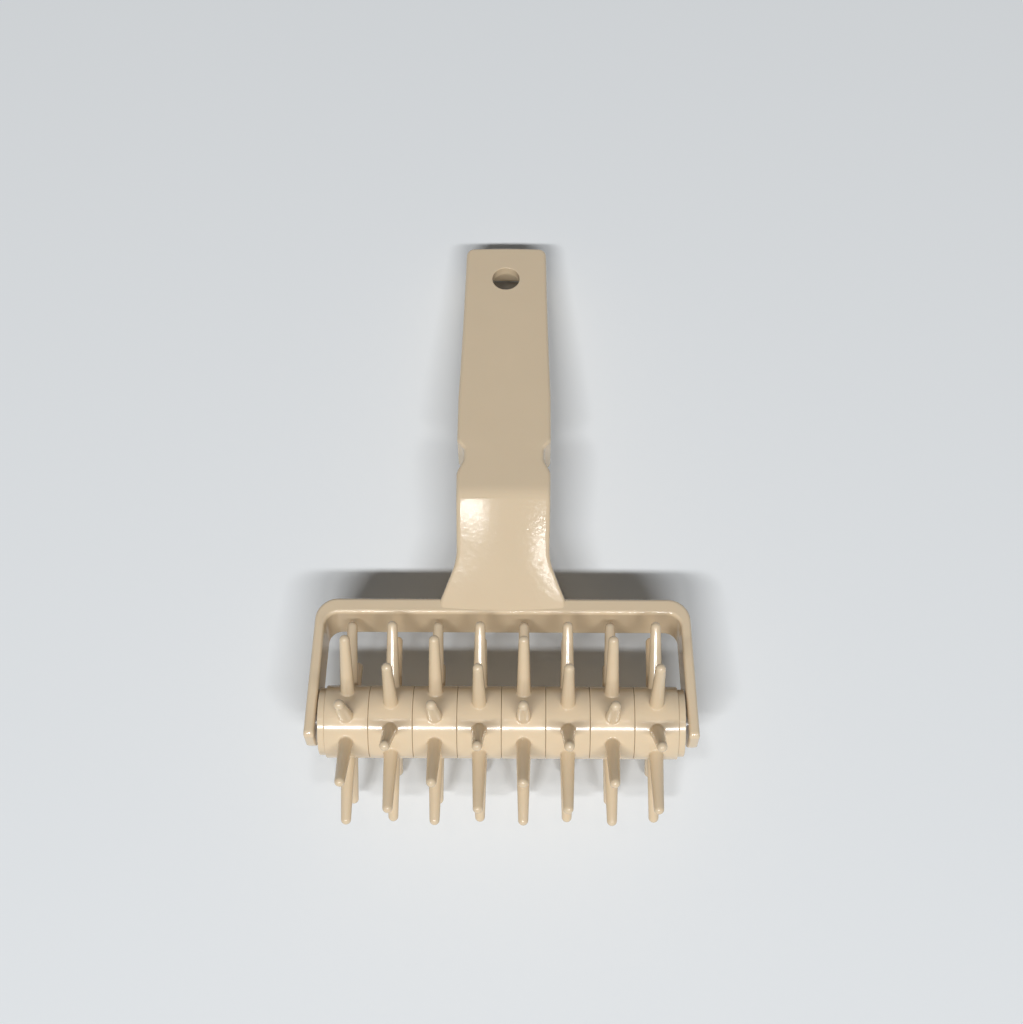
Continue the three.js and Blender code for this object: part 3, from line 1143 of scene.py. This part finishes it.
    def tree(self) -> bpy.types.NodeTree:
        """Builds the node tree that repeats a sector round the axle.

        Returns:
            The geometry node group.
        """
        group = bpy.data.node_groups.new("pins_round_axle", "GeometryNodeTree")
        face = group.interface
        face.new_socket("Sector", in_out="INPUT", socket_type="NodeSocketGeometry")
        pins = face.new_socket("Pins", in_out="INPUT", socket_type="NodeSocketInt")
        pins.default_value = self.pins
        face.new_socket("Phase", in_out="INPUT", socket_type="NodeSocketFloat")
        face.new_socket("Centre", in_out="INPUT", socket_type="NodeSocketVector")
        face.new_socket("Finish", in_out="INPUT", socket_type="NodeSocketMaterial")
        face.new_socket("Ring", in_out="OUTPUT", socket_type="NodeSocketGeometry")
        nodes, link = group.nodes, group.links.new
        given = nodes.new("NodeGroupInput").outputs
        points = nodes.new("GeometryNodePoints")
        link(given["Pins"], points.inputs["Count"])
        step = nodes.new("ShaderNodeMath")
        step.operation = "DIVIDE"
        step.inputs[0].default_value = math.tau
        link(given["Pins"], step.inputs[1])
        turn = nodes.new("ShaderNodeMath")
        turn.operation = "MULTIPLY_ADD"
        link(nodes.new("GeometryNodeInputIndex").outputs[0], turn.inputs[0])
        link(step.outputs[0], turn.inputs[1])
        link(given["Phase"], turn.inputs[2])
        euler = nodes.new("ShaderNodeCombineXYZ")
        link(turn.outputs[0], euler.inputs["X"])
        rotation = nodes.new("FunctionNodeEulerToRotation")
        link(euler.outputs[0], rotation.inputs[0])
        copies = nodes.new("GeometryNodeInstanceOnPoints")
        link(points.outputs[0], copies.inputs["Points"])
        link(given["Sector"], copies.inputs["Instance"])
        link(rotation.outputs[0], copies.inputs["Rotation"])
        move = nodes.new("GeometryNodeTranslateInstances")
        move.inputs["Local Space"].default_value = False
        link(copies.outputs[0], move.inputs["Instances"])
        link(given["Centre"], move.inputs["Translation"])
        real = nodes.new("GeometryNodeRealizeInstances")
        link(move.outputs[0], real.inputs[0])
        weld = nodes.new("GeometryNodeMergeByDistance")
        weld.inputs["Distance"].default_value = self.seam * MILLIMETRE
        link(real.outputs[0], weld.inputs["Geometry"])
        coat = nodes.new("GeometryNodeSetMaterial")
        link(weld.outputs[0], coat.inputs["Geometry"])
        link(given["Finish"], coat.inputs["Material"])
        link(coat.outputs[0], nodes.new("NodeGroupOutput").inputs["Ring"])
        return group

    def _bore_outline(self, phase: float) -> list[Flat]:
        """Gives the outline of the bore with its key slots.

        Args:
            phase: turn of the slots about the axle.

        Returns:
            The corners, as pairs of Y and Z.
        """
        outline: list[Flat] = []
        slot_turn = math.asin(self.key_half / self.bore)
        for key in range(self.key_count):
            middle = math.tau * key / self.key_count + phase
            ahead = (-math.sin(middle), math.cos(middle))
            aside = (-math.cos(middle), -math.sin(middle))
            floor = self.bore + self.key_height
            wall = self.bore * math.cos(slot_turn)
            for level, side in ((wall, -1), (floor, -1), (floor, 1), (wall, 1)):
                offset = side * self.key_half
                outline.append((ahead[0] * level + aside[0] * offset, ahead[1] * level + aside[1] * offset))
            free = math.tau / self.key_count - 2 * slot_turn
            for step in range(1, self.bore_steps):
                turn = middle + slot_turn + free * step / self.bore_steps
                outline.append((-self.bore * math.sin(turn), self.bore * math.cos(turn)))
        return outline

    def close(self, made: bpy.types.Object, centre: Vector, key_phase: float) -> None:
        """Closes a ring with its end faces and its slotted bore.

        Args:
            made: the ring, open at both ends.
            centre: middle of the ring on the axle, in metres.
            key_phase: turn of the key slots about the axle.
        """
        outline = self._bore_outline(key_phase)
        count = len(outline)
        loops = []
        with opened(made) as work:
            for side in (-1, 1):
                x = centre.x + side * self.half * MILLIMETRE
                open_edges = [edge for edge in work.edges if edge.is_boundary]
                rim = [edge for edge in open_edges if (edge.verts[0].co.x - centre.x) * side > 0]
                places = [(x, centre.y + y * MILLIMETRE, centre.z + z * MILLIMETRE) for y, z in outline]
                corners = [work.verts.new(place) for place in places]
                edges = [work.edges.new((one, two)) for one, two in zip(corners, [*corners[1:], corners[0]])]
                bmesh.ops.triangle_fill(work, edges=[*rim, *edges], use_beauty=True)
                loops.append(corners)
            for index in range(count):
                after = (index + 1) % count
                work.faces.new((loops[0][index], loops[0][after], loops[1][after], loops[1][index]))
            bmesh.ops.recalc_face_normals(work, faces=work.faces)

    def build(self, finish: bpy.types.Material) -> list[bpy.types.Object]:
        """Makes every ring of the roller.

        Args:
            finish: the material of the rings.

        Returns:
            The finished rings from left to right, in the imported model's frame.
        """
        group = self.tree()
        names = {item.name: item.identifier for item in group.interface.items_tree if item.in_out == "INPUT"}
        rings = []
        for index in range(self.count):
            phase = self.sector / 2 if index % 2 else 0.0
            centre = self.axle + Vector(((index + 0.5 - self.count / 2) * self.pitch * MILLIMETRE, 0, 0))
            made = self.sector_object()
            made.name = f"ring_moulding_{index + 1}"
            step = made.modifiers.new("pins_round_axle", "NODES")
            step.node_group = group
            step[names["Pins"]] = self.pins
            step[names["Phase"]] = phase
            step[names["Centre"]] = tuple(centre)
            step[names["Finish"]] = finish
            settle(made)
            self.close(made, centre, -self.key_turn)
            dress(made, finish)
            made.data.shade_smooth()
            made.data.set_sharp_from_angle(angle=SMOOTH_BELOW_ON_RINGS)
            rings.append(made)
        return rings


@dataclass
class EndDisc:
    """Flanged bush that closes the sleeve and runs on the axle."""

    axle: Vector
    inner: float = 59.0
    thickness: float = 2.25
    rim: float = 11.3
    edge: float = 0.25
    edge_steps: int = 4
    spigot: float = 5.7
    spigot_length: float = 8.0
    bore: float = 3.3

    def outline(self) -> list[Flat]:
        """Gives the bush's outline, drawn for the right side.

        Returns:
            Pairs of a place along X and a radius.
        """
        outer = self.inner + self.thickness
        tail = self.inner - self.spigot_length
        level = self.rim - self.edge
        return [
            (tail, self.bore),
            (tail, self.spigot),
            (self.inner, self.spigot),
            *arc((self.inner + self.edge, level), self.edge, 2 * QUARTER, QUARTER, self.edge_steps),
            *arc((outer - self.edge, level), self.edge, QUARTER, 0, self.edge_steps),
            (outer, self.bore),
        ]

    def build(self, side: int, finish: bpy.types.Material) -> bpy.types.Object:
        """Makes one bush.

        Args:
            side: 1 for the right end, -1 for the left end.
            finish: the material of the bush.

        Returns:
            The finished piece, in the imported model's frame.
        """
        name = "bush_right" if side > 0 else "bush_left"
        made = turned(name, [(side * x, y) for x, y in self.outline()], FINE_TURN_STEPS)
        smooth(made)
        made.data.transform(on_axle(self.axle))
        dress(made, finish)
        return made


@dataclass
class AxleRod:
    """Steel rod through both arms."""

    axle: Vector
    half: float = 65.3
    radius: float = 3.0
    chamfer: float = 0.5

    def build(self, finish: bpy.types.Material) -> bpy.types.Object:
        """Makes the rod with its chamfered ends.

        Args:
            finish: the material of the rod.

        Returns:
            The finished piece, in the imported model's frame.
        """
        outline = [
            (-self.half, 0.0),
            (-self.half, self.radius - self.chamfer),
            (self.chamfer - self.half, self.radius),
            (self.half - self.chamfer, self.radius),
            (self.half, self.radius - self.chamfer),
            (self.half, 0.0),
        ]
        made = turned("axle_steel", outline, TURN_STEPS)
        smooth(made)
        made.data.transform(on_axle(self.axle))
        dress(made, finish)
        return made


# The studio


@dataclass(frozen=True)
class Lamp:
    """One rectangular lamp that looks at the origin, with its longer side along X, in metres and watts."""

    name: str
    towards: Point
    distance: float
    size: Flat
    power: float

    def hang(self) -> None:
        """Puts the lamp in the scene."""
        data = bpy.data.lights.new(self.name, "AREA")
        data.shape = "RECTANGLE"
        data.size, data.size_y = self.size
        data.energy = self.power
        made = bpy.data.objects.new(self.name, data)
        bpy.context.scene.collection.objects.link(made)
        towards = Vector(self.towards).normalized()
        side = Vector((1, 0, 0)).cross(towards).normalized()
        along = towards.cross(side)
        turn = Matrix((along, towards.cross(along), towards)).transposed().to_4x4()
        made.matrix_world = Matrix.Translation(towards * self.distance) @ turn


@dataclass
class Studio:
    """Floor, light and camera.

    The camera's place from the axle, in millimetres, and its directions were fitted to the photograph.
    """

    axle: Vector
    camera_from_axle: Point = (9.16, -92.32, 563.42)
    camera_right: Point = (0.999935, 0.006446, -0.009392)
    camera_down: Point = (0.003521, -0.958995, -0.283402)
    focal_pixels: float = 1675.0
    picture_width: float = 1023.0
    sensor_width: float = 36.0
    nearest: float = 0.01
    floor_half: float = 4.0
    sky: Colour = (0.97, 0.98, 1.0)
    sky_strength: float = 0.07
    backdrop_strength: float = 0.8
    lamps: tuple[Lamp, ...] = (
        Lamp("left_tube", (-0.24, -0.56, 1.0), 3.0, (0.98, 0.14), 41.5),
        Lamp("right_tube", (0.22, -0.56, 1.0), 3.0, (1.13, 0.14), 36.5),
        Lamp("left_near_tube", (-0.103, -0.114, 1.0), 1.25, (0.1, 0.011), 0.22),
        Lamp("right_near_tube", (0.105, -0.146, 1.0), 1.25, (0.075, 0.02), 0.16),
    )

    def camera(self) -> None:
        """Places the camera at the photograph's viewing angle."""
        data = bpy.data.cameras.new("camera")
        data.sensor_fit = "HORIZONTAL"
        data.sensor_width = self.sensor_width
        data.lens = self.focal_pixels * self.sensor_width / self.picture_width
        data.clip_start = self.nearest
        made = bpy.data.objects.new("camera", data)
        bpy.context.scene.collection.objects.link(made)
        right = Vector(self.camera_right).normalized()
        up = -Vector(self.camera_down).normalized()
        back = right.cross(up).normalized()
        up = back.cross(right)
        turn = Matrix((right, up, back)).transposed().to_4x4()
        place = self.axle + Vector(self.camera_from_axle) * MILLIMETRE
        made.matrix_world = Matrix.Translation(place) @ turn
        bpy.context.scene.camera = made

    def floor(self) -> None:
        """Lays the pale floor."""
        half = self.floor_half / MILLIMETRE
        corners = [(-half, -half, 0.0), (half, -half, 0.0), (half, half, 0.0), (-half, half, 0.0)]
        made = mesh_object("floor", corners, [(0, 1, 2, 3)])
        made.data.transform(Matrix.Scale(MILLIMETRE, 4))
        made.data.materials.append(FloorFinish().material())

    def light(self) -> None:
        """Hangs the lamps over the docker and fills the rest from the sky.

        The sky lights the docker faintly, and is pale where it is seen straight, in gloss or through glass.
        """
        for lamp in self.lamps:
            lamp.hang()
        world = bpy.data.worlds.new("sky")
        world.use_nodes = True
        tree = world.node_tree
        light, seen = tree.nodes["Background"], tree.nodes.new("ShaderNodeBackground")
        for shade, strength in ((light, self.sky_strength), (seen, self.backdrop_strength)):
            shade.inputs["Color"].default_value = (*self.sky, 1)
            shade.inputs["Strength"].default_value = strength
        path = tree.nodes.new("ShaderNodeLightPath")
        choice = tree.nodes.new("ShaderNodeMixShader")
        rays = path.outputs["Is Camera Ray"]
        for name in ("Is Glossy Ray", "Is Transmission Ray"):
            either = tree.nodes.new("ShaderNodeMath")
            either.operation = "MAXIMUM"
            socket_link(tree, rays, either.inputs[0])
            socket_link(tree, path.outputs[name], either.inputs[1])
            rays = either.outputs[0]
        socket_link(tree, rays, choice.inputs[0])
        socket_link(tree, light.outputs[0], choice.inputs[1])
        socket_link(tree, seen.outputs[0], choice.inputs[2])
        socket_link(tree, choice.outputs[0], tree.nodes["World Output"].inputs["Surface"])
        bpy.context.scene.world = world

    def build(self) -> None:
        """Sets up the whole studio."""
        self.camera()
        self.floor()
        self.light()
        bpy.context.scene.view_settings.view_transform = "Standard"


def hand_over(piece: bpy.types.Object, node: str, body: Body) -> None:
    """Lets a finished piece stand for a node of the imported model.

    Args:
        piece: the finished piece.
        node: the node that it replaces.
        body: the body that it rides on.
    """
    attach(piece, body.value)
    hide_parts(node)
    LOG.info("%s replaces %s, %d faces", piece.name, node, len(piece.data.polygons))


def main() -> None:
    """Builds the docker and its studio in order."""
    logging.basicConfig(level=logging.INFO, format="%(name)s: %(message)s")
    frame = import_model()
    axle = Vector(frame["joints"][0]["pos_m"])
    Studio(axle).build()
    sparked = PlasticFinish().material()
    polished = PlasticFinish(
        name="ivory_polished",
        roughness=0.17,
        roughness_spread=0.03,
        peel_per_metre=160.0,
        peel_depth=0.00001,
        grain_depth=0.000006,
    ).material()
    steel = SteelFinish().material()
    hand_over(Handle(axle).build(sparked), "handle_frame", Body.HANDLE)
    hand_over(AxleRod(axle).build(steel), "axle_rod", Body.HANDLE)
    for index, ring in enumerate(PinRing(axle).build(polished), start=1):
        hand_over(ring, f"pin_ring_{index}", Body.ROLLER)
    hand_over(EndDisc(axle).build(-1, polished), "end_disc_left", Body.ROLLER)
    hand_over(EndDisc(axle).build(1, polished), "end_disc_right", Body.ROLLER)
    sleeve = frame["nodes"]["roller_sleeve"]
    sleeve.data.materials.clear()
    sleeve.data.materials.append(polished)
    LOG.info("roller_sleeve keeps its shape and takes the plastic finish")


if __name__ == "__main__":
    main()
